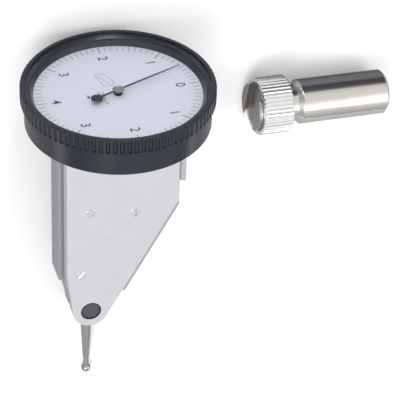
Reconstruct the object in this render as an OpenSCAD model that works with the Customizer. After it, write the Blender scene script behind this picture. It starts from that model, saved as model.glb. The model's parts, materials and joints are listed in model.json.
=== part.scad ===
// Lever-type dial test indicator lying on its back beside its dovetail clamp stem.
// The indicator is drawn upright in its own frame (Z along the pointer axis,
// front cover towards -Y, origin at the top centre of the bezel) and then laid
// down, so that the bezel skirt and the stylus ball touch z = 0.

/* [Bezel and dial] */
// Radius over the knurled band of the bezel
bezel_r = 20; // [18:0.5:22]
// Height of the bezel
bezel_h = 9.05; // [8.8:0.05:9.5]
// Depth of the knurled band
knurl_h = 3.2; // [2.6:0.1:3.6]
// Number of grooves in the knurled band
knurl_count = 88; // [60:2:100]
// Depth of the dial face below the rim
dial_z = 2.45; // [2.35:0.05:2.5]
// Length of the pointer from its axis to its tip
pointer_r = 15.7; // [12:0.1:16]
// Angle of the pointer from the zero mark
pointer_angle = 21.4; // [-180:0.1:180]

/* [Body] */
// Width of the front cover
cover_w = 23.96; // [22:0.1:25]
// Distance from the dial axis to the outside of the front cover
front_y = 4.8; // [4.5:0.1:5.4]
// Distance from the dial axis to the outside of the back cover
back_y = 2.9; // [2.7:0.1:3.4]
// Thickness of each cover
cover_t = 1; // [0.8:0.1:1]
// How far the frame stands out past the covers
frame_lip = 0.35; // [0.2:0.05:0.6]
// How far the frame stands out past the covers along the sloping side
slope_lip = 1.2; // [0.35:0.05:1.2]
// Thickness of the frame's side walls
wall = 1.3; // [1:0.1:1.6]

/* [Dovetail rails] */
// Width over the corners of each rail
rail_w = 6.35; // [6:0.05:6.6]
// Distance from the dial axis to a rail's outer face
rail_x = 13.59; // [13.4:0.01:14]
// Angle of a rail's flanks from its face
rail_angle = 60; // [55:1:70]

/* [Pivot and stylus] */
// Sideways place of the stylus pivot
pivot_x = -6.85; // [-7.2:0.01:-6]
// Height of the stylus pivot, below the rim
pivot_z = -54.35; // [-56:0.05:-53]
// Radius of the rounded lobes that hold the pivot
lobe_r = 3.85; // [3.6:0.05:4.2]
// Length from the pivot to the centre of the ball
stylus_len = 19.3; // [14:0.1:24]
// Diameter of the ball
ball_d = 2; // [1:0.1:3]

/* [Movement] */
// Tooth size of all gears
gear_module = 0.1; // [0.1:0.01:0.1]
// Teeth that the lever's sector would have on a full circle
sector_teeth = 651; // [651:1:651]
// Teeth of the crown gear
crown_teeth = 132; // [132:1:132]
// Teeth of both pinions
pinion_teeth = 12; // [12:1:12]

/* [Clamp stem] */
// Diameter of the shank
shank_d = 9.525; // [8:0.005:9.525]
// Diameter over the knurled clamp ring
ring_d = 12.3; // [12.3:0.1:13]
// Number of grooves in the clamp ring
ring_grooves = 44; // [24:1:48]
// Distance the ring's centre lies to the right of the dial axis
stem_x = 31.5; // [29:0.5:40]
// Distance the ring's centre lies below the rim's centre
stem_y = -14.5; // [-30:0.1:0]
// Turn of the stem on the table
stem_turn = -2.6; // [-20:0.1:20]
// Roll of the jaw slot about the stem
stem_roll = -63; // [-90:1:90]

/* [Hidden] */
$fn = 64;
e = 0.02;                                   // running and assembly clearance
big = 200;
skirt_r = bezel_r - 0.83;
bore_r = bezel_r - 1.7;                     // bore of the bezel below its lip
lip_r = bezel_r - 2.03;                     // window of the bezel
glass_r = bezel_r - 1.05;                   // recess of the crystal
crystal_z = 0.45;                           // underside of the crystal
lip_z = 1.1;                                // underside of the bezel's lip
dial_r = bezel_r - 2.75;                    // what shows of the dial
case_r = bore_r - 0.4;
body_top = -(bezel_h - 0.1);
cover_hw = cover_w / 2;
frame_y0 = -front_y + cover_t;              // front face of the frame
frame_y1 = back_y - cover_t;                // back face of the frame
rail_y = (back_y - front_y) / 2;            // middle of the rails
bush_r = 2.2;                               // bushes of the pivot, let into the covers
cap_r = 1.92;
slot_top = -50.9;                           // where the frame ends above the stylus slot
slant = 28.9;                               // angle of the long sloping edge
side_slant = 7.2;                           // angle of the short edge on the rail side
floor_t = 0.7;                              // web of the frame in front of the back cover
cover_screws = [[-6.9, -28.2], [2.7, -29.7], [-9.0, -44.35]];

sector_r = gear_module * sector_teeth / 2;
pinion_r = gear_module * pinion_teeth / 2;
crown_r = gear_module * crown_teeth / 2;
arbor_z = pivot_z + sqrt(pow(sector_r + pinion_r, 2) - pow(pivot_x, 2));
lever_angle = atan2(-pivot_x, arbor_z - pivot_z);
lever_y = -2.5;                             // front face of the lever plate
lever_t = 0.6;
crown_y = -pinion_r - 0.125;                // face of the crown gear's disc
stylus_y = -0.3;                            // plane the stylus swings in
hub_y0 = -3.3;

rest_y = skirt_r - stylus_y;
foot_z = bezel_h - 0.3;                     // the corner of the skirt that touches
rest_z = stylus_len - pivot_z - foot_z;
lean = atan(rest_y / rest_z) - asin(ball_d / 2 / norm([rest_y, rest_z]));
lift = cos(lean) * skirt_r + sin(lean) * foot_z;

stem_front = 1.2;                           // jaw face to the front of the ring
ring_l = 6.7;
neck_l = 1.9;
stem_l = 30.3;
ring_end = stem_front + ring_l;
stem_dip = asin((ring_d - shank_d) / 2 / (stem_l - 0.6 - ring_end));
stem_lift = ring_d / 2 * cos(stem_dip) + (ring_end - 0.3) * sin(stem_dip);

// The row's origin: middle of the box round everything, on the table.
x_end = stem_x + stem_l * cos(stem_turn) * cos(stem_dip);
y_end = cos(lean) * (pivot_z - stylus_len) + sin(lean) * stylus_y - ball_d / 2;
y_top = sin(lean) * (bezel_r - 0.3);
mid_x = (x_end + 0.25 - bezel_r) / 2;
mid_y = (y_end + y_top) / 2;

// ---- helpers ----

// Lays the upright indicator down on the table.
module lay() {
    translate([-mid_x, -mid_y, lift]) rotate([-(90 - lean), 0, 0]) children();
}

// Puts the clamp stem on the table; inside, the stem runs along +Z from its jaws.
module lay_stem() {
    translate([stem_x - mid_x, stem_y - mid_y, stem_lift])
        rotate([0, 0, stem_turn]) rotate([0, 90 + stem_dip, 0]) rotate([0, 0, stem_roll])
            children();
}

// A flat shape in X and Z, made solid between two depths.
module yplate(y0, y1) {
    translate([0, y1, 0]) rotate([90, 0, 0]) linear_extrude(height = y1 - y0) children();
}

// A cylinder along Y at x, z.
module ycyl(x, z, r, y0, y1) {
    translate([x, y1, z]) rotate([90, 0, 0]) cylinder(r = r, h = y1 - y0);
}

// A cylinder along Z between two heights.
module zcyl(r, z0, z1) { translate([0, 0, z0]) cylinder(r = r, h = z1 - z0); }

// A ring along Z between two heights.
module zring(ro, ri, z0, z1) {
    difference() { zcyl(ro, z0, z1); zcyl(ri, z0 - 1, z1 + 1); }
}

// The body's outline made solid between two depths, grown by g on every side but
// the top, and by slope on the sloping side. The straight edges run just inside
// the lobe, so the two fuse cleanly.
module slab(g, top, y0, y1, slope = undef) {
    hw = cover_hw + g;
    r = lobe_r + g - 0.003;
    rs = lobe_r + (is_undef(slope) ? g : slope) - 0.003;
    right = [pivot_x + rs * cos(slant), pivot_z - rs * sin(slant)];
    left = [pivot_x - r * cos(side_slant), pivot_z - r * sin(side_slant)];
    right_z = right[1] + (hw - right[0]) / tan(slant);
    left_z = left[1] + (hw + left[0]) / tan(side_slant);
    ycyl(pivot_x, pivot_z, lobe_r + g, y0, y1);
    yplate(y0, y1) polygon([[-hw, top], [hw, top], [hw, right_z], right,
        [pivot_x, pivot_z - 1], left, [-hw, left_z]]);
}

// A toothed disc: straight slender teeth with backlash.
module gear_2d(teeth, r, phase = 0) {
    root = r - 1.25 * gear_module;
    tip = r + gear_module;
    base = 0.62 * gear_module;
    nose = 0.28 * gear_module;
    circle(r = root);
    for (i = [0:teeth - 1])
        rotate(phase + 360 * i / teeth)
            polygon([[root - 0.05, -base], [root, -base], [tip, -nose], [tip, nose],
                [root, base], [root - 0.05, base]]);
}

// A slotted cheese-head screw along +Z, head from 0 down.
module screw(head_r, head_h, shank_r, len) {
    difference() {
        union() {
            translate([0, 0, -head_h]) cylinder(r = head_r, h = head_h);
            translate([0, 0, -head_h - len]) cylinder(r = shank_r, h = len + 0.1);
        }
        translate([-big / 2, -head_r * 0.14, -head_h * 0.5])
            cube([big, head_r * 0.28, head_h]);
    }
}

// ---- body ----

module rail(side, z0, z1) {
    root = cover_hw + frame_lip;
    inset = (rail_x - root) / tan(rail_angle);
    h = rail_w / 2;
    translate([0, rail_y, z0]) linear_extrude(height = z1 - z0)
        polygon([[side * rail_x, -h], [side * rail_x, h], [side * root, h - inset],
            [side * (root - 0.5), h - inset], [side * (root - 0.5), -h + inset],
            [side * root, -h + inset]]);
}

// Everything below the top of the stylus slot, between two depths.
module below_slot(y0, y1, over = 0)
    translate([-big / 2, y0, slot_top - big]) cube([big, y1 - y0, big + over]);

module body_frame() color("Gainsboro") lay() difference() {
    union() {
        difference() {
            union() {
                difference() {
                    slab(frame_lip, body_top, frame_y0, frame_y1, slope_lip);
                    below_slot(-big, big);
                }
                // cheeks of the lobe, flush with the covers
                intersection() {
                    slab(0, body_top, frame_y0, frame_y1);
                    below_slot(-big, big, 0.01);
                }
            }
            slab(frame_lip - wall, body_top - 1.5, frame_y0 - 1, frame_y1 - floor_t, slope_lip - wall);
            below_slot(stylus_y - 1.4, stylus_y + 1.35);
            ycyl(pivot_x, pivot_z, lobe_r + frame_lip - wall, frame_y0, frame_y1 + 1);
        }
        for (p = cover_screws) ycyl(p[0], p[1], 1.25, frame_y0, frame_y1 - floor_t + 0.1);
        rail(-1, -45.2, body_top);
        rail(1, -24, body_top);
    }
    for (p = cover_screws) {
        ycyl(p[0], p[1], 0.5 + e, frame_y0 - 1, frame_y0 + 2);
        ycyl(p[0], p[1], 0.5 + e, frame_y1 - 1.9, frame_y1 + 1);
    }
    // arbor of the centre pinion
    zcyl(1.3, body_top - 3, body_top + 1);
    // screws of the dial case
    for (x = [-8, 8]) translate([x, rail_y, 0]) zcyl(0.6 + e, body_top - 1.3, body_top + 1);
    // adjusting screw behind its seal
    translate([-rail_x - 1, 1.1, -42]) rotate([0, 90, 0]) cylinder(r = 0.9, h = 1.3);
    // screws of the two movement bridges
    for (x = [-3, 3]) ycyl(x, arbor_z + 9.4, 0.4 + e, frame_y1 - floor_t - 1, frame_y1 + 1);
}

module cover(y0, y1, pivot_hole) {
    difference() {
        slab(0, body_top - 0.15, y0, y1);
        for (p = cover_screws) ycyl(p[0], p[1], 0.5 + e, y0 - 1, y1 + 1);
        ycyl(pivot_x, pivot_z, pivot_hole, y0 - 1, y1 + 1);
    }
}

module front_cover() color("Silver") lay() difference() {
    cover(-front_y, frame_y0, bush_r + e);
    for (p = cover_screws) ycyl(p[0], p[1], 1.0 + e, -front_y - 1, -front_y + 0.55);
}

module back_cover() color("Silver") lay() difference() {
    cover(frame_y1, back_y, bush_r + e);
    for (p = cover_screws) ycyl(p[0], p[1], 1.0 + e, back_y - 0.55, back_y + 1);
}

module front_cover_screws() color("White") lay()
    for (p = cover_screws) translate([p[0], -front_y, p[1]]) rotate([90, 0, 0])
        rotate([0, 0, 35 * p[0]]) screw(1.0, 0.5, 0.5, 2);

module back_cover_screws() color("White") lay()
    for (p = cover_screws) translate([p[0], back_y, p[1]]) rotate([-90, 0, 0])
        rotate([0, 0, 50 * p[1]]) screw(1.0, 0.5, 0.5, 1.7);

// Each bush is let into a cover and carries one end of the pivot shaft.
module bush(y_out, y_in, y_cap) difference() {
    ycyl(pivot_x, pivot_z, bush_r, min(y_out, y_in), max(y_out, y_in));
    ycyl(pivot_x, pivot_z, 0.8 + e, min(y_out, y_in) - 1, max(y_out, y_in) + 1);
    ycyl(pivot_x, pivot_z, cap_r + e, min(y_out, y_cap), max(y_out, y_cap));
}

module front_pivot_bush() color("DimGray") lay()
    bush(-front_y - 0.001, frame_y0 + 0.2, -front_y + 0.5);
module back_pivot_bush() color("DimGray") lay()
    bush(back_y + 0.001, frame_y1 - 0.2, back_y - 0.5);
module front_pivot_cap() color("SlateGray") lay()
    ycyl(pivot_x, pivot_z, cap_r, -front_y + 0.12, -front_y + 0.48);
module back_pivot_cap() color("SlateGray") lay()
    ycyl(pivot_x, pivot_z, cap_r, back_y - 0.48, back_y - 0.12);

// ---- dial case and movement frame ----

module dial_case() color("DarkGray") lay() difference() {
    union() {
        zcyl(case_r, body_top, body_top + 0.75);
        zring(case_r, case_r - 1, body_top + 0.7, -3.2);
        // pillars of the upper bridge
        for (a = [90, 210, 330]) rotate([0, 0, a]) translate([7, 0, 0]) zcyl(0.9, body_top + 0.7, -4.3);
    }
    zcyl(1.3, body_top - 1, 0);
    for (x = [-8, 8]) translate([x, rail_y, 0]) zcyl(0.6 + e, body_top - 1, 0);
    for (a = [90, 210, 330]) rotate([0, 0, a]) translate([7, 0, 0]) zcyl(0.35 + e, -5.4, -4);
    // groove of the bezel spring
    zring(case_r + 1, case_r - 0.25, -5.9, -5.2);
}

module case_screws() color("White") lay()
    for (x = [-8, 8]) translate([x, rail_y, body_top + 1.35]) screw(1.1, 0.6, 0.6, 1.9);

module bezel_spring_ring() color("SteelBlue") lay() difference() {
    translate([0, 0, -5.55]) rotate_extrude() translate([bore_r - 0.2, 0]) circle(r = 0.28, $fn = 24);
    translate([bore_r - 2, -0.6, -7]) cube([4, 1.2, 3]);
}

module upper_bridge() color("Goldenrod") lay() difference() {
    zcyl(8.2, -4.28, -3.7);
    zcyl(0.7, -5, 0);
    for (a = [90, 210, 330]) rotate([0, 0, a]) {
        translate([7, 0, 0]) zcyl(0.35 + e, -5, 0);
        translate([-4.6, 0, 0]) zcyl(2.2, -5, 0);
    }
}

module upper_jewel() color("Crimson") lay() zring(0.7 - e / 4, 0.33, -4.2, -3.75);

module lower_bridge() color("Goldenrod") lay() difference() {
    translate([-1.5, -0.38, arbor_z + 3.2]) cube([3, frame_y1 - floor_t + 0.38 - e / 4, 1.2]);
    translate([0, 0, arbor_z]) zcyl(0.32, 0, 9);
}

module lower_jewel() color("Crimson") lay() translate([0, 0, arbor_z]) difference() {
    zcyl(0.32 - e / 4, 3.3, 4.3);
    zcyl(0.15 + e, 3.6, 5);
}

// The two bridges that carry the crown gear's arbor.
module front_bridge() color("Goldenrod") lay() difference() {
    union() {
        yplate(-3.6, -3.1) {
            translate([0, arbor_z]) circle(r = 1.6);
            translate([-1.2, arbor_z]) square([2.4, 9.4]);
            translate([-4, arbor_z + 8.2]) square([8, 2.2]);
        }
        for (x = [-3, 3]) ycyl(x, arbor_z + 9.3, 0.9, -3.2, frame_y1 - floor_t - e / 4);
    }
    ycyl(0, arbor_z, 0.5, -4, -2);
    for (x = [-3, 3]) ycyl(x, arbor_z + 9.4, 0.4 + e, -1, 3);
}

module back_bridge() color("Goldenrod") lay() difference() {
    yplate(0.55, frame_y1 - floor_t - e / 4) translate([0, arbor_z]) circle(r = 1.8);
    ycyl(0, arbor_z, 0.5, 0, 3);
}

module front_jewel() color("Crimson") lay() difference() {
    ycyl(0, arbor_z, 0.5 - e / 4, -3.5, -3.15);
    ycyl(0, arbor_z, 0.18 + e, -4, -2);
}

module back_jewel() color("Crimson") lay() difference() {
    ycyl(0, arbor_z, 0.5 - e / 4, 0.6, 1.1);
    ycyl(0, arbor_z, 0.18 + e, 0, 1);
}

module bridge_screws() color("White") lay() {
    for (x = [-3, 3]) translate([x, frame_y1, arbor_z + 9.4]) rotate([-90, 0, 0])
        translate([0, 0, -e]) screw(0.4, 0.3, 0.4, 2.2);
    for (a = [90, 210, 330]) rotate([0, 0, a]) translate([7, 0, -3.4]) screw(0.7, 0.28, 0.35, 1.5);
}

// Two pins that stop the lever just past the ends of its travel.
module stop_pins() color("White") lay() translate([pivot_x, 0, pivot_z]) rotate([0, lever_angle, 0])
    for (x = [-2.25, 2.25]) ycyl(x, 14.5, 0.4, lever_y - 0.3, frame_y1 - floor_t - e / 4);

// A leaf spring that rests beside a pin of the lever.
module lever_spring() color("SteelBlue") lay() translate([pivot_x, 0, pivot_z]) rotate([0, lever_angle, 0]) {
    translate([1.62, -0.9, 5]) cube([0.12, 1.2, 8]);
    ycyl(1.9, 13.3, 0.5, -0.9, frame_y1 - floor_t - e / 4);
}

// A point of the hairspring's spiral: i of n steps, d off its middle line.
function spiral(i, n, d) = let (a = 360 * 5 * i / n, r = 0.86 + 2.54 * i / n + d)
    [r * cos(a), r * sin(a)];

module hairspring() color("SteelBlue") lay() translate([0, 0, -5.75]) linear_extrude(height = 0.25)
    polygon(concat([for (i = [0:120]) spiral(i, 120, -0.05)],
        [for (i = [120:-1:0]) spiral(i, 120, 0.05)]));

module hairspring_stud() color("Goldenrod") lay() difference() {
    translate([3.32, -0.55, body_top + 0.76]) cube([0.9, 0.5, 3]);
    translate([3, -0.09, -6]) cube([0.6, 0.2, 0.6]);
}

module adjusting_screw() color("White") lay()
    translate([-rail_x + 0.28, 1.1, -42]) rotate([0, 90, 0]) translate([0, 0, -0.3])
        difference() {
            cylinder(r = 0.88, h = 0.3);
            translate([-2, -0.12, -0.1]) cube([4, 0.24, 0.2]);
        }

module lacquer_seal() color("Red") lay()
    translate([-rail_x - 0.06, 1.1, -42]) rotate([0, 90, 0]) cylinder(r = 0.8, h = 0.035);

// ---- bezel group ----

module bezel() color("DimGray") lay() difference() {
    rotate_extrude($fn = 128) polygon([
        [bore_r, -bezel_h], [skirt_r - 0.3, -bezel_h], [skirt_r, -bezel_h + 0.3],
        [skirt_r, -knurl_h - 0.35], [bezel_r, -knurl_h], [bezel_r, -0.3], [bezel_r - 0.3, 0],
        [glass_r, 0], [glass_r, -crystal_z], [glass_r - 0.3, -crystal_z],
        [glass_r - 0.42, -crystal_z - 0.12], [lip_r + 0.28, -crystal_z - 0.26],
        [lip_r + 0.18, -crystal_z - 0.36], [lip_r, -0.96], [lip_r, -lip_z], [bore_r, -lip_z]]);
    for (i = [0:knurl_count - 1]) rotate([0, 0, 360 * i / knurl_count])
        translate([bezel_r + 0.1, 0, -knurl_h - 0.02]) cylinder(r = 0.45, h = knurl_h + 1, $fn = 24);
    zring(bore_r + 0.2, bore_r - 1, -5.9, -5.2);
}

module crystal() color("LightCyan", 0.3) lay() rotate_extrude($fn = 128) polygon([
    [0, -crystal_z + e], [glass_r - e, -crystal_z + e], [glass_r - e, -0.15],
    [glass_r - 0.15, -0.02], [0, -0.02]]);
module crystal_gasket() color("Black") lay() zring(bore_r - e, lip_r, -lip_z - 0.2, -lip_z);
module dial_ring() color("DimGray") lay() rotate_extrude($fn = 128) polygon([
    [bore_r - e, -dial_z], [dial_r, -dial_z], [lip_r - 0.05, -lip_z - 0.2], [bore_r - e, -lip_z - 0.2]]);
module dial_plate() color("AliceBlue") lay() zring(bore_r - e, 0.9, -dial_z - 0.3, -dial_z);
module dial_retainer() color("Gray") lay() zring(bore_r - e, bore_r - 0.9, -dial_z - 0.6, -dial_z - 0.3);

// ---- pointer group ----

module centre_pinion() color("Gold") lay() {
    zcyl(0.3, arbor_z + 4.6, -1.62);
    zcyl(0.15, arbor_z + 3.65, arbor_z + 4.7);
    translate([0, 0, arbor_z + crown_r - 1.35]) linear_extrude(height = 1.6)
        gear_2d(pinion_teeth, pinion_r, -90 + 180 / pinion_teeth);
}

module hairspring_collet() color("Goldenrod") lay() zring(0.8, 0.3 + e / 4, -5.9, -5.3);
module pointer_hub() color("Silver") lay() difference() {
    rotate_extrude() polygon([[0, -2.17], [0.6, -2.17], [0.6, -1.41], [1.2, -1.41], [1.2, -1.32],
        [1.1, -1.22], [0.85, -1.22], [0.7, -1.32], [0, -1.32]]);
    zcyl(0.3 + e, -3, -1.58);
}

module pointer() color("Black") lay() rotate([0, 0, pointer_angle]) difference() {
    union() {
        zcyl(1.1, -1.54, -1.42);
        translate([-5.3, 0, 0]) zcyl(1.25, -1.54, -1.42);
        translate([0, 0, -1.54]) linear_extrude(height = 0.12)
            polygon([[-5.2, -0.2], [0, -0.24], [pointer_r - 3, -0.12], [pointer_r, -0.03],
                [pointer_r, 0.03], [pointer_r - 3, 0.12], [0, 0.24], [-5.2, 0.2]]);
    }
    zcyl(0.6 + e / 4, -3, 0);
}

// ---- crown gear and lever ----

module crown_arbor() color("Gold") lay() {
    ycyl(0, arbor_z, 0.35, -2.95, 0.5);
    ycyl(0, arbor_z, 0.18, -3.5, 0.95);
    translate([0, 0, arbor_z]) yplate(-2.9, -1.5)
        rotate(-90 - lever_angle) gear_2d(pinion_teeth, pinion_r);
}

module crown_gear() color("Goldenrod") lay() translate([0, 0, arbor_z]) {
    difference() {
        ycyl(0, 0, crown_r + 0.1, crown_y - 0.5, crown_y);
        ycyl(0, 0, 0.35 + e / 4, -5, 5);
        for (a = [45:90:315]) rotate([0, a, 0]) ycyl(3.2, 0, 1.4, -5, 5);
    }
    yplate(crown_y - 0.1, crown_y + 0.22) difference() {
        circle(r = crown_r);
        circle(r = crown_r - 1);
        for (i = [0:crown_teeth - 1]) rotate(90 + 360 * (i + 0.5) / crown_teeth)
            translate([crown_r - 1.5, -0.095]) square([3, 0.19]);
    }
}

module lever_arm() color("Silver") lay() translate([pivot_x, 0, pivot_z]) rotate([0, lever_angle, 0])
    difference() {
        union() {
            ycyl(0, 0, 2.2, hub_y0, lever_y + lever_t + 0.2);
            yplate(lever_y, lever_y + lever_t) {
                polygon([[-1.9, 0], [1.9, 0], [1.1, sector_r - 1.5], [-1.1, sector_r - 1.5]]);
                intersection() {
                    gear_2d(sector_teeth, sector_r, 90 + 180 / sector_teeth);
                    polygon([[0, 22], [-1.85, sector_r + 1], [1.85, sector_r + 1]]);
                    translate([-3, sector_r - 3]) square([6, 4]);
                }
            }
            // pin the leaf spring works on
            ycyl(1.0, 6.2, 0.3, lever_y, -0.2);
        }
        ycyl(0, 0, 0.8 + e / 4, -5, 5);
        yplate(-5, 5) translate([0, 11]) circle(r = 0.9);
        yplate(-5, 5) translate([0, 19]) circle(r = 0.7);
    }

module pivot_shaft() color("White") lay() ycyl(pivot_x, pivot_z, 0.8, -front_y + 0.52, back_y - 0.52);

module clutch_washer() color("Gold") lay() difference() {
    ycyl(pivot_x, pivot_z, 2, lever_y + lever_t + 0.2, stylus_y - 1.2);
    ycyl(pivot_x, pivot_z, 0.8 + e / 4, -5, 5);
}

module stylus_boss() color("Silver") lay() difference() {
    ycyl(pivot_x, pivot_z, 2.55, stylus_y - 1.2 + e / 4, stylus_y + 1.2);
    ycyl(pivot_x, pivot_z, 0.8 + e, -5, 5);
    translate([pivot_x, stylus_y, pivot_z]) zcyl(0.75 + e, -3, -1.6);
}

module wave_washer() color("SteelBlue") lay() difference() {
    ycyl(pivot_x, pivot_z, 1.7, stylus_y + 1.2 + e, stylus_y + 1.5);
    ycyl(pivot_x, pivot_z, 0.8 + e / 4, -5, 5);
}

module clutch_collar() color("White") lay() difference() {
    ycyl(pivot_x, pivot_z, 1.5, stylus_y + 1.5, frame_y1 - 0.35);
    ycyl(pivot_x, pivot_z, 0.8 + e / 4, -5, 5);
}

module stylus_shank() color("White") lay() translate([pivot_x, stylus_y, pivot_z]) {
    end = stylus_len - sqrt(pow(ball_d / 2, 2) - pow(0.55, 2));
    zcyl(0.75, -3, -1.65);
    translate([0, 0, -end]) rotate_extrude() polygon([
        [0, 0], [0.55, 0], [0.6, 2.2], [0.72, 2.7], [1.15, end - 7.2], [1.15, end - 2.65],
        [0, end - 2.65]]);
}

module stylus_ball() color("White") lay() difference() {
    translate([pivot_x, stylus_y, pivot_z - stylus_len]) sphere(r = ball_d / 2, $fn = 48);
    translate([pivot_x, stylus_y, pivot_z - stylus_len + sqrt(pow(ball_d / 2, 2) - pow(0.55, 2)) - e / 4])
        cylinder(r = 0.7, h = 2);
}

// ---- clamp stem, drawn along +Z from its jaws; the jaw slot runs along X ----

slot_mouth = rail_w - 2 * 1.2 / tan(rail_angle) + 0.1;
slot_floor = rail_w + 0.1;
jaw_r = ring_d / 2 - 1.12;
core_r = 4.2;
jaw_back = 0.35;                            // how far the sliding jaw sits back
split = 2.3;                                // flat the sliding jaw runs on

// The dovetail slot between the jaws, open along X.
module jaw_slot(extra = 0) rotate([90, 0, 90]) linear_extrude(height = big, center = true)
    polygon([[-slot_mouth / 2 - 0.7, -1], [-slot_mouth / 2, 0], [-slot_floor / 2, 1.2],
        [-slot_floor / 2, 1.25 + extra], [slot_floor / 2, 1.25 + extra], [slot_floor / 2, 1.2],
        [slot_mouth / 2, 0], [slot_mouth / 2 + 0.7, -1]]);

module stem_shank() color("Silver") lay_stem() difference() {
    union() {
        zcyl(jaw_r, 0, 2.6);
        zcyl(core_r, 2.5, ring_end - 0.5);
        zcyl(3.75, ring_end - 0.6, ring_end + neck_l);
        translate([0, 0, ring_end + neck_l]) rotate_extrude() polygon([
            [0, 0], [3.9, 0], [shank_d / 2, 0.9],
            [shank_d / 2, stem_l - ring_end - neck_l - 0.6],
            [shank_d / 2 - 0.6, stem_l - ring_end - neck_l], [0, stem_l - ring_end - neck_l]]);
    }
    jaw_slot();
    translate([-big / 2, -big - split, -1]) cube([big, big, 7]);
}

module clamp_jaw() color("Silver") lay_stem() translate([0, 0, jaw_back]) difference() {
    union() {
        zcyl(jaw_r, 0, 3.15);
        zcyl(core_r, 3, 4.6);
        zcyl(jaw_r, 4.55, 5.2);
    }
    jaw_slot();
    translate([-big / 2, -split - e, -1]) cube([big, big, 8]);
}

module clamp_ring() color("White") lay_stem() difference() {
    rotate_extrude($fn = 96) polygon([
        [jaw_r + 0.05, stem_front + 0.3], [jaw_r + 0.35, stem_front], [ring_d / 2 - 0.3, stem_front],
        [ring_d / 2, stem_front + 0.3], [ring_d / 2, ring_end - 0.3], [ring_d / 2 - 0.3, ring_end],
        [core_r + 0.05, ring_end], [core_r + 0.05, 6.1], [jaw_r + 0.05, 5.75],
        [jaw_r + 0.05, 4.25], [core_r + 0.05, 4.25], [core_r + 0.05, 3.6], [jaw_r + 0.05, 3.6]]);
    for (i = [0:ring_grooves - 1]) rotate([0, 0, 360 * (i + 0.5) / ring_grooves])
        translate([ring_d / 2 + 0.08, 0, 0]) rotate([0, 0, 45])
            translate([-0.24, -0.24, 0]) cube([0.48, 0.48, 20]);
}

body_frame();
front_cover();
back_cover();
front_cover_screws();
back_cover_screws();
front_pivot_bush();
back_pivot_bush();
front_pivot_cap();
back_pivot_cap();
dial_case();
case_screws();
bezel_spring_ring();
upper_bridge();
lower_bridge();
front_bridge();
back_bridge();
bridge_screws();
upper_jewel();
lower_jewel();
front_jewel();
back_jewel();
stop_pins();
lever_spring();
hairspring();
hairspring_stud();
adjusting_screw();
lacquer_seal();
bezel();
crystal();
crystal_gasket();
dial_ring();
dial_plate();
dial_retainer();
centre_pinion();
hairspring_collet();
pointer_hub();
pointer();
crown_arbor();
crown_gear();
lever_arm();
pivot_shaft();
clutch_washer();
wave_washer();
clutch_collar();
stylus_boss();
stylus_shank();
stylus_ball();
stem_shank();
clamp_jaw();
clamp_ring();
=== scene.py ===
"""Dial test indicator lying on its back, with its clamp stem beside it.

The indicator is placed upright in its own frame, as in part.scad: x to the right,
y away from the front cover, z along the pointer's axis from the stylus to the rim.
T() takes a point given in millimetres in that frame to the row frame in metres.
"""
import json
import math

import bmesh
import bpy
from mathutils import Matrix, Vector


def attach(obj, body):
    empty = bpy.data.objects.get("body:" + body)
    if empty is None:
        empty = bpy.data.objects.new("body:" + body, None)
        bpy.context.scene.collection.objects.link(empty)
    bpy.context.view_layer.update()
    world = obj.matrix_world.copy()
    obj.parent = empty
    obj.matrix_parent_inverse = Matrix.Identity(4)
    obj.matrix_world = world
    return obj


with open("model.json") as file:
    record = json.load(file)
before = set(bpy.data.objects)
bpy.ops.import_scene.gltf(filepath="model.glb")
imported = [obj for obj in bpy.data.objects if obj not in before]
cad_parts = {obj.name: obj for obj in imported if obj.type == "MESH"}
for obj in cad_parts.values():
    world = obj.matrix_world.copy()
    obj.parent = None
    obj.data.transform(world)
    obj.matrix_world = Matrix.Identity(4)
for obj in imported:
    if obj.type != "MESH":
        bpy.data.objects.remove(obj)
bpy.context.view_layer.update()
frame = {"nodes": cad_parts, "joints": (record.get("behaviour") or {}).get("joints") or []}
NODES = frame["nodes"]
JOINTS = {j["name"]: j for j in frame["joints"]}
MM = 0.001

# ---- the two frames of the object ----

ORIGIN = Vector(JOINTS["pointer_spin"]["pos_m"])
UP = Vector(JOINTS["pointer_spin"]["axis"]).normalized()
RIGHT = Vector((1, 0, 0))
AWAY = UP.cross(RIGHT)
TOOL = Matrix((RIGHT, AWAY, UP)).transposed()
STEM = Vector(JOINTS["clamp_ring_turn"]["axis"]).normalized()
STEM_AT = Vector(JOINTS["clamp_ring_turn"]["pos_m"])


def T(x, y, z):
    return ORIGIN + TOOL @ Vector((x, y, z)) * MM


# ---- sizes, in millimetres ----

DIAL_Z = -2.45          # face of the dial
PRINT_Z = DIAL_Z + 0.012
DIVISIONS = 80
MARK_R = 17.05          # outer end of the division marks
LONG_MARK = (2.2, 0.17)     # length and width, one at each figure
MIDDLE_MARK = (1.9, 0.12)
SHORT_MARK = (1.5, 0.1)
NUMERAL_R = 13.0
FIGURES = (0, 1, 2, 3, 4, 3, 2, 1)
FIGURE_SIZE = 2.9
UNIT_SIZE = 1.9
UNIT_AT = (-3.5, -0.8)
LINE = 0.08             # thin lines of the signs

# ---- materials ----


def material(name, colour, rough, metal=0.0, **inputs):
    m = bpy.data.materials.new(name)
    m.use_nodes = True
    shader = m.node_tree.nodes["Principled BSDF"]
    shader.inputs["Base Color"].default_value = (*colour, 1)
    shader.inputs["Roughness"].default_value = rough
    shader.inputs["Metallic"].default_value = metal
    for key, value in inputs.items():
        shader.inputs[key.replace("_", " ")].default_value = value
    return m, m.node_tree, shader


def place(tree):
    """Object coordinates in metres."""
    return tree.nodes.new("ShaderNodeTexCoord").outputs["Object"]


def noise(tree, vector, size, detail=3.0):
    """Noise whose features are about size metres across."""
    n = tree.nodes.new("ShaderNodeTexNoise")
    n.inputs["Scale"].default_value = 1 / size
    n.inputs["Detail"].default_value = detail
    tree.links.new(vector, n.inputs["Vector"])
    return n.outputs["Fac"]


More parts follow.
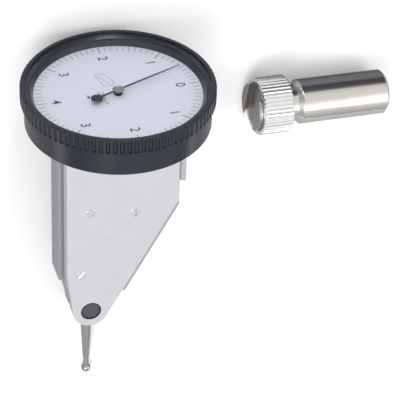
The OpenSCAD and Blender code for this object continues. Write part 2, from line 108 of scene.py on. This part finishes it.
def spread(tree, value, low, high):
    r = tree.nodes.new("ShaderNodeMapRange")
    r.inputs["From Min"].default_value = 0.3
    r.inputs["From Max"].default_value = 0.7
    r.inputs["To Min"].default_value = low
    r.inputs["To Max"].default_value = high
    tree.links.new(value, r.inputs["Value"])
    return r.outputs["Result"]


def bump(tree, shader, height, depth, edge=0.0):
    """Fine relief, with the edges of the part rounded off to a radius in mm."""
    b = tree.nodes.new("ShaderNodeBump")
    b.inputs["Distance"].default_value = depth
    tree.links.new(height, b.inputs["Height"])
    if edge:
        round_off = tree.nodes.new("ShaderNodeBevel")
        round_off.samples = 6
        round_off.inputs["Radius"].default_value = edge * MM
        tree.links.new(round_off.outputs["Normal"], b.inputs["Normal"])
    tree.links.new(b.outputs["Normal"], shader.inputs["Normal"])


def tint(tree, shader, value, dark, light):
    ramp = tree.nodes.new("ShaderNodeValToRGB")
    ramp.color_ramp.elements[0].position = 0.3
    ramp.color_ramp.elements[1].position = 0.7
    ramp.color_ramp.elements[0].color = (*dark, 1)
    ramp.color_ramp.elements[1].color = (*light, 1)
    tree.links.new(value, ramp.inputs["Fac"])
    tree.links.new(ramp.outputs["Color"], shader.inputs["Base Color"])


def shade(c, k):
    return tuple(min(1, v * k) for v in c)


def grained(name, colour, rough, metal, grain=0.00025, depth=0.000004, vary=0.04,
            edge=0.0, **inputs):
    """A surface with fine grain, slight colour variation and uneven gloss."""
    m, tree, shader = material(name, colour, rough, metal, **inputs)
    at = place(tree)
    tint(tree, shader, noise(tree, at, 0.006), shade(colour, 1 - vary), shade(colour, 1 + vary))
    tree.links.new(spread(tree, noise(tree, at, 0.003), rough * 0.94, rough * 1.06),
                   shader.inputs["Roughness"])
    bump(tree, shader, noise(tree, at, grain, 2), depth, edge)
    return m


def along(tree, vector, axis, start):
    """Distance in metres from a point, along an axis."""
    off = tree.nodes.new("ShaderNodeVectorMath")
    off.operation = "SUBTRACT"
    off.inputs[1].default_value = start
    tree.links.new(vector, off.inputs[0])
    d = tree.nodes.new("ShaderNodeVectorMath")
    d.operation = "DOT_PRODUCT"
    d.inputs[1].default_value = axis
    tree.links.new(off.outputs["Vector"], d.inputs[0])
    return d.outputs["Value"]


def turned(name, colour, rough, axis, start, pitch=0.00007, depth=0.0000015, edge=0.0, dull=0.0):
    """Metal turned on a lathe, with fine rings square to its axis. The part of it
    before `dull` mm is left darker and rougher."""
    m, tree, shader = material(name, colour, rough, 1.0)
    at = place(tree)
    s = along(tree, at, axis, start)
    rings = tree.nodes.new("ShaderNodeTexNoise")
    rings.noise_dimensions = "1D"
    rings.inputs["Scale"].default_value = 1 / pitch
    rings.inputs["Detail"].default_value = 4
    tree.links.new(s, rings.inputs["W"])
    tint(tree, shader, noise(tree, at, 0.005), shade(colour, 0.96), shade(colour, 1.03))
    gloss = spread(tree, rings.outputs["Fac"], rough * 0.8, rough * 1.25)
    if dull:
        step = tree.nodes.new("ShaderNodeMapRange")
        step.inputs["From Min"].default_value = (dull - 0.05) * MM
        step.inputs["From Max"].default_value = (dull + 0.05) * MM
        tree.links.new(s, step.inputs["Value"])
        mix = tree.nodes.new("ShaderNodeMix")
        mix.data_type = "RGBA"      # inputs 6 and 7 and output 2 are its colour sockets
        mix.inputs[6].default_value = (*shade(colour, 0.55), 1)
        tree.links.new(step.outputs["Result"], mix.inputs[0])
        tree.links.new(shader.inputs["Base Color"].links[0].from_socket, mix.inputs[7])
        tree.links.new(mix.outputs[2], shader.inputs["Base Color"])
        rougher = tree.nodes.new("ShaderNodeMapRange")
        rougher.inputs["To Min"].default_value = 0.18
        rougher.inputs["To Max"].default_value = 0.0
        tree.links.new(step.outputs["Result"], rougher.inputs["Value"])
        add = tree.nodes.new("ShaderNodeMath")
        tree.links.new(gloss, add.inputs[0])
        tree.links.new(rougher.outputs["Result"], add.inputs[1])
        gloss = add.outputs["Value"]
    tree.links.new(gloss, shader.inputs["Roughness"])
    bump(tree, shader, rings.outputs["Fac"], depth, edge)
    return m


def paint(node, m):
    o = NODES[node]
    o.data.materials.clear()
    o.data.materials.append(m)


def soften(node, width, segments=2):
    """Small rounded edges on a CAD part."""
    b = NODES[node].modifiers.new("edges", "BEVEL")
    b.width = width * MM
    b.segments = segments
    b.limit_method = "ANGLE"
    b.angle_limit = math.radians(40)
    b.harden_normals = False


SATIN = grained("satin frame", (0.50, 0.50, 0.52), 0.36, 0.9, grain=0.00012,
                depth=0.000002, vary=0.01, edge=0.1)
COVER = grained("satin cover", (0.68, 0.68, 0.71), 0.42, 0.8, grain=0.00012,
                depth=0.000002, vary=0.008)
BLACK = grained("black anodised", (0.006, 0.009, 0.018), 0.22, 0.0, grain=0.00008, depth=0.000001,
                vary=0.12, edge=0.09, Specular_IOR_Level=0.6)
DIAL = grained("dial face", (0.60, 0.63, 0.72), 0.55, 0.0, grain=0.0002,
               depth=0.0000008, vary=0.008)
INK = grained("dial ink", (0.02, 0.021, 0.026), 0.5, 0.0, grain=0.0002, depth=0.0000005)
# The dial ring's near-black colour is partly the ring's own black and partly a painted dark
# reflection: it stands in for the dark band that the crystal's thick edge reflects.
RING = grained("dial ring", (0.05, 0.055, 0.07), 0.3, 0.5, grain=0.0002, depth=0.000001)
RUBBER = grained("gasket rubber", (0.02, 0.02, 0.021), 0.6, 0.0)
POINTER = grained("pointer black", (0.012, 0.012, 0.016), 0.35, 0.0)
STEEL = grained("steel", (0.62, 0.62, 0.64), 0.18, 1.0, depth=0.000001, edge=0.06)
HUB = grained("hub steel", (0.34, 0.34, 0.36), 0.24, 1.0, depth=0.000001, edge=0.08)
SCREW = grained("screw steel", (0.85, 0.85, 0.86), 0.14, 1.0, depth=0.000001, edge=0.12)
OXIDE = grained("black oxide", (0.012, 0.013, 0.016), 0.3, 0.2, edge=0.06)
CAP = grained("grey cap", (0.10, 0.105, 0.115), 0.34, 0.7, grain=0.00015,
              depth=0.000003, vary=0.1, edge=0.15)
ALUMINIUM = grained("machined aluminium", (0.72, 0.72, 0.73), 0.35, 1.0)
BLUED = grained("blued spring", (0.16, 0.20, 0.38), 0.25, 1.0)
BRASS = grained("brass", (0.78, 0.58, 0.26), 0.28, 1.0)
LACQUER = grained("red lacquer", (0.36, 0.01, 0.012), 0.25, 0.0, Coat_Weight=0.6)
RUBY = grained("ruby", (0.55, 0.01, 0.06), 0.08, 0.0)
PIVOT = Vector(JOINTS["stylus_swivel"]["pos_m"])
STYLUS = turned("stylus steel", (0.50, 0.50, 0.51), 0.2, UP, PIVOT, edge=0.08)
BALL = grained("hard metal ball", (0.42, 0.42, 0.44), 0.12, 1.0)
SHANK = turned("turned stem", (0.74, 0.71, 0.67), 0.2, STEM, STEM_AT, edge=0.12, dull=1.0)
JAW = grained("jaw steel", (0.40, 0.395, 0.39), 0.34, 1.0, depth=0.000002, edge=0.12)
KNURL = turned("bright ring", (0.92, 0.92, 0.92), 0.22, STEM, STEM_AT,
               depth=0.0000008, edge=0.08)

CRYSTAL, _, glass_shader = material("crystal", (1, 1, 1), 0.02)
glass_shader.inputs["Transmission Weight"].default_value = 1
glass_shader.inputs["IOR"].default_value = 1.02
glass_shader.inputs["Alpha"].default_value = 0.12

for nodes, m in (
    (("body_frame",), SATIN),
    (("front_cover", "back_cover"), COVER),
    (("front_cover_screws", "back_cover_screws", "case_screws", "bridge_screws",
      "adjusting_screw"), SCREW),
    (("front_pivot_bush", "back_pivot_bush"), OXIDE),
    (("front_pivot_cap", "back_pivot_cap"), CAP),
    (("dial_case", "dial_retainer", "lever_arm"), ALUMINIUM),
    (("bezel_spring_ring", "lever_spring", "hairspring", "wave_washer"), BLUED),
    (("upper_bridge", "lower_bridge", "front_bridge", "back_bridge", "hairspring_stud",
      "hairspring_collet", "crown_gear", "clutch_washer"), BRASS),
    (("upper_jewel", "lower_jewel", "front_jewel", "back_jewel"), RUBY),
    (("lacquer_seal",), LACQUER),
    (("bezel",), BLACK),
    (("crystal",), CRYSTAL),
    (("crystal_gasket",), RUBBER),
    (("dial_ring",), RING),
    (("dial_plate",), DIAL),
    (("pointer",), POINTER),
    (("pointer_hub",), HUB),
    (("centre_pinion", "crown_arbor", "stop_pins", "pivot_shaft", "clutch_collar"), STEEL),
    (("stylus_boss", "stylus_shank"), STYLUS),
    (("stylus_ball",), BALL),
    (("stem_shank",), SHANK),
    (("clamp_jaw",), JAW),
    (("clamp_ring",), KNURL),
):
    for node in nodes:
        paint(node, m)

soften("front_cover", 0.12)
soften("back_cover", 0.12)

# ---- printing on the dial ----


def flat_piece(name, outlines):
    """Thin printed shapes on the dial. Each outline is a list of points in mm."""
    bm = bmesh.new()
    for points in outlines:
        bm.faces.new([bm.verts.new(T(x, y, PRINT_Z)) for x, y in points])
    mesh = bpy.data.meshes.new(name)
    bm.to_mesh(mesh)
    bm.free()
    o = bpy.data.objects.new(name, mesh)
    bpy.context.scene.collection.objects.link(o)
    mesh.materials.append(INK)
    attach(o, "bezel")


def mark(angle, r0, r1, width):
    """A radial bar, as four points."""
    c, s = math.cos(angle), math.sin(angle)
    h = width / 2
    return [(c * r0 - s * d, s * r0 + c * d) if r == 0 else (c * r1 - s * d, s * r1 + c * d)
            for r, d in ((0, -h), (1, -h), (1, h), (0, h))]


def stroke(x0, y0, x1, y1, width):
    """A straight line of ink between two points, as four points."""
    dx, dy = x1 - x0, y1 - y0
    k = width / 2 / math.hypot(dx, dy)
    return [(x0 + dy * k, y0 - dx * k), (x1 + dy * k, y1 - dx * k),
            (x1 - dy * k, y1 + dx * k), (x0 - dy * k, y0 + dx * k)]


marks = []
for i in range(DIVISIONS):
    length, width = LONG_MARK if i % 10 == 0 else MIDDLE_MARK if i % 5 == 0 else SHORT_MARK
    angle = 2 * math.pi * i / DIVISIONS
    marks.append(mark(angle, MARK_R - length, MARK_R, width))
flat_piece("dial_marks", marks)

# small outline of a lever indicator and a direction arrow, beside the hub
outline = [(-3.1, 7.6), (-1.5, 7.8), (0.3, 3.9), (-0.7, 3.1), (-2.2, 3.3)]
lines = [stroke(*outline[i - 1], *outline[i], LINE) for i in range(len(outline))]
lines.append(stroke(-2.6, 7.2, -0.9, 3.5, 0.07))
lines.append(stroke(-6.5, 1.2, -6.25, 0.3, LINE))
lines.append([(-6.55, 0.4), (-6.15, -0.55), (-5.75, 0.4)])
flat_piece("dial_signs", lines)


def lettering(name, text, size, x, y, bold=0.0):
    """Generic figures printed on the dial, whose upper side points along +x."""
    c = bpy.data.curves.new(name, "FONT")
    c.body = text
    c.size = size * MM
    c.align_x = "CENTER"
    c.align_y = "CENTER"
    c.offset = bold * MM
    c.resolution_u = 6
    o = bpy.data.objects.new(name, c)
    bpy.context.scene.collection.objects.link(o)
    spin = Matrix.Rotation(math.radians(-90), 3, "Z")
    o.matrix_world = Matrix.Translation(T(x, y, PRINT_Z)) @ (TOOL @ spin).to_4x4()
    bpy.context.view_layer.update()
    mesh = bpy.data.meshes.new_from_object(o.evaluated_get(bpy.context.evaluated_depsgraph_get()))
    mesh.transform(o.matrix_world)
    bpy.data.objects.remove(o)
    p = bpy.data.objects.new(name, mesh)
    bpy.context.scene.collection.objects.link(p)
    mesh.materials.clear()
    mesh.materials.append(INK)
    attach(p, "bezel")


for i, figure in enumerate(FIGURES):
    angle = 2 * math.pi * i / len(FIGURES)
    lettering(f"figure_{i}", str(figure), FIGURE_SIZE,
              NUMERAL_R * math.cos(angle), NUMERAL_R * math.sin(angle), bold=0.02)
lettering("unit", '.0001"', UNIT_SIZE, *UNIT_AT, bold=-0.012)

# ---- floor, light and camera ----

FLOOR_Z = -0.0002

bpy.ops.mesh.primitive_plane_add(size=4, location=(0, 0, FLOOR_Z))
floor = bpy.context.object
floor.name = "floor"
floor_m, _, floor_shader = material("floor", (0.93, 0.93, 0.93), 0.9)
floor.data.materials.append(floor_m)

world = bpy.data.worlds.new("studio")
bpy.context.scene.world = world
world.use_nodes = True
sky = world.node_tree
sky_at = sky.nodes.new("ShaderNodeTexCoord")
sky_z = sky.nodes.new("ShaderNodeSeparateXYZ")
sky_ramp = sky.nodes.new("ShaderNodeValToRGB")
sky_ramp.color_ramp.elements[0].color = (0.42, 0.42, 0.43, 1)
sky_ramp.color_ramp.elements[1].color = (1, 1, 1, 1)
sky_ramp.color_ramp.elements[1].position = 0.75
sky.links.new(sky_at.outputs["Generated"], sky_z.inputs["Vector"])
sky.links.new(sky_z.outputs["Z"], sky_ramp.inputs["Fac"])
sky.links.new(sky_ramp.outputs["Color"], sky.nodes["Background"].inputs["Color"])
sky.nodes["Background"].inputs["Strength"].default_value = 0.85


def card(name, corners, colour):
    """A studio card that is seen only in reflections."""
    mesh = bpy.data.meshes.new(name)
    mesh.from_pydata([tuple(v) for v in corners], [], [(0, 1, 2, 3)])
    o = bpy.data.objects.new(name, mesh)
    bpy.context.scene.collection.objects.link(o)
    mesh.materials.append(material(name, colour, 1.0)[0])
    o.visible_camera = o.visible_diffuse = o.visible_shadow = o.visible_transmission = False


# Two dark cards behind the shank of the stem, one flat and one standing, and a grey
# one under both parts, so that polished metal doesn't mirror a white floor.
CARD_X0 = STEM_AT.x + 0.006
CARD_X1 = STEM_AT.x + 0.075
CARD_Y0 = STEM_AT.y + 0.004
CARD_Y1 = STEM_AT.y + 0.045
CARD_Z = 0.0003
CARD_TOP = 0.034
FLOOR_CARD = 0.12       # half its side
FLOOR_CARD_Z = -0.0001
card("card_low", [(CARD_X0, CARD_Y0, CARD_Z), (CARD_X1, CARD_Y0, CARD_Z),
                  (CARD_X1, CARD_Y1, CARD_Z), (CARD_X0, CARD_Y1, CARD_Z)], (0.12, 0.125, 0.15))
card("card_back", [(CARD_X0, CARD_Y1, CARD_Z), (CARD_X1, CARD_Y1, CARD_Z),
                   (CARD_X1, CARD_Y1, CARD_TOP), (CARD_X0, CARD_Y1, CARD_TOP)],
     (0.03, 0.03, 0.035))
card("card_floor", [(x * FLOOR_CARD, y * FLOOR_CARD, FLOOR_CARD_Z)
                    for x, y in ((-1, -1), (1, -1), (1, 1), (-1, 1))], (0.42, 0.42, 0.43))


def softbox(name, at, aim, size, power):
    light = bpy.data.lights.new(name, "AREA")
    light.shape = "SQUARE"
    light.size = size
    light.energy = power
    o = bpy.data.objects.new(name, light)
    bpy.context.scene.collection.objects.link(o)
    o.location = at
    o.rotation_euler = (Vector(aim) - Vector(at)).to_track_quat("-Z", "Y").to_euler()
    return o


softbox("key", (-0.35, -0.25, 0.6), (0, 0, 0), 0.4, 3.0)
softbox("fill", (0.5, -0.2, 0.5), (0, 0, 0), 0.5, 1.5)
softbox("dial", (0.02, 0.55, 0.34), (-0.02, 0.03, 0.02), 0.14, 0.9)

# The camera is given in the indicator's own frame.
CAMERA_AZ = math.radians(-17.14)
CAMERA_EL = math.radians(37.01)
CAMERA_ROLL = math.radians(1.81)
CAMERA_FAR = 549.6
CAMERA_AIM = (12.41, -18.34, -18.39)
CAMERA_LENS = 244.4

back = TOOL @ Vector((math.sin(CAMERA_AZ) * math.cos(CAMERA_EL),
                      -math.cos(CAMERA_AZ) * math.cos(CAMERA_EL), math.sin(CAMERA_EL)))
side = TOOL @ Vector((math.cos(CAMERA_AZ), math.sin(CAMERA_AZ), 0))
top = back.cross(side)
cos_roll, sin_roll = math.cos(CAMERA_ROLL), math.sin(CAMERA_ROLL)
side, top = cos_roll * side + sin_roll * top, cos_roll * top - sin_roll * side
camera = bpy.data.objects.new("camera", bpy.data.cameras.new("camera"))
bpy.context.scene.collection.objects.link(camera)
camera.matrix_world = (Matrix.Translation(T(*CAMERA_AIM) + back * CAMERA_FAR * MM)
                       @ Matrix((side, top, back)).transposed().to_4x4())
camera.data.sensor_width = 36
camera.data.lens = CAMERA_LENS
camera.data.clip_start = 0.01
bpy.context.scene.camera = camera
bpy.context.scene.view_settings.view_transform = "Standard"
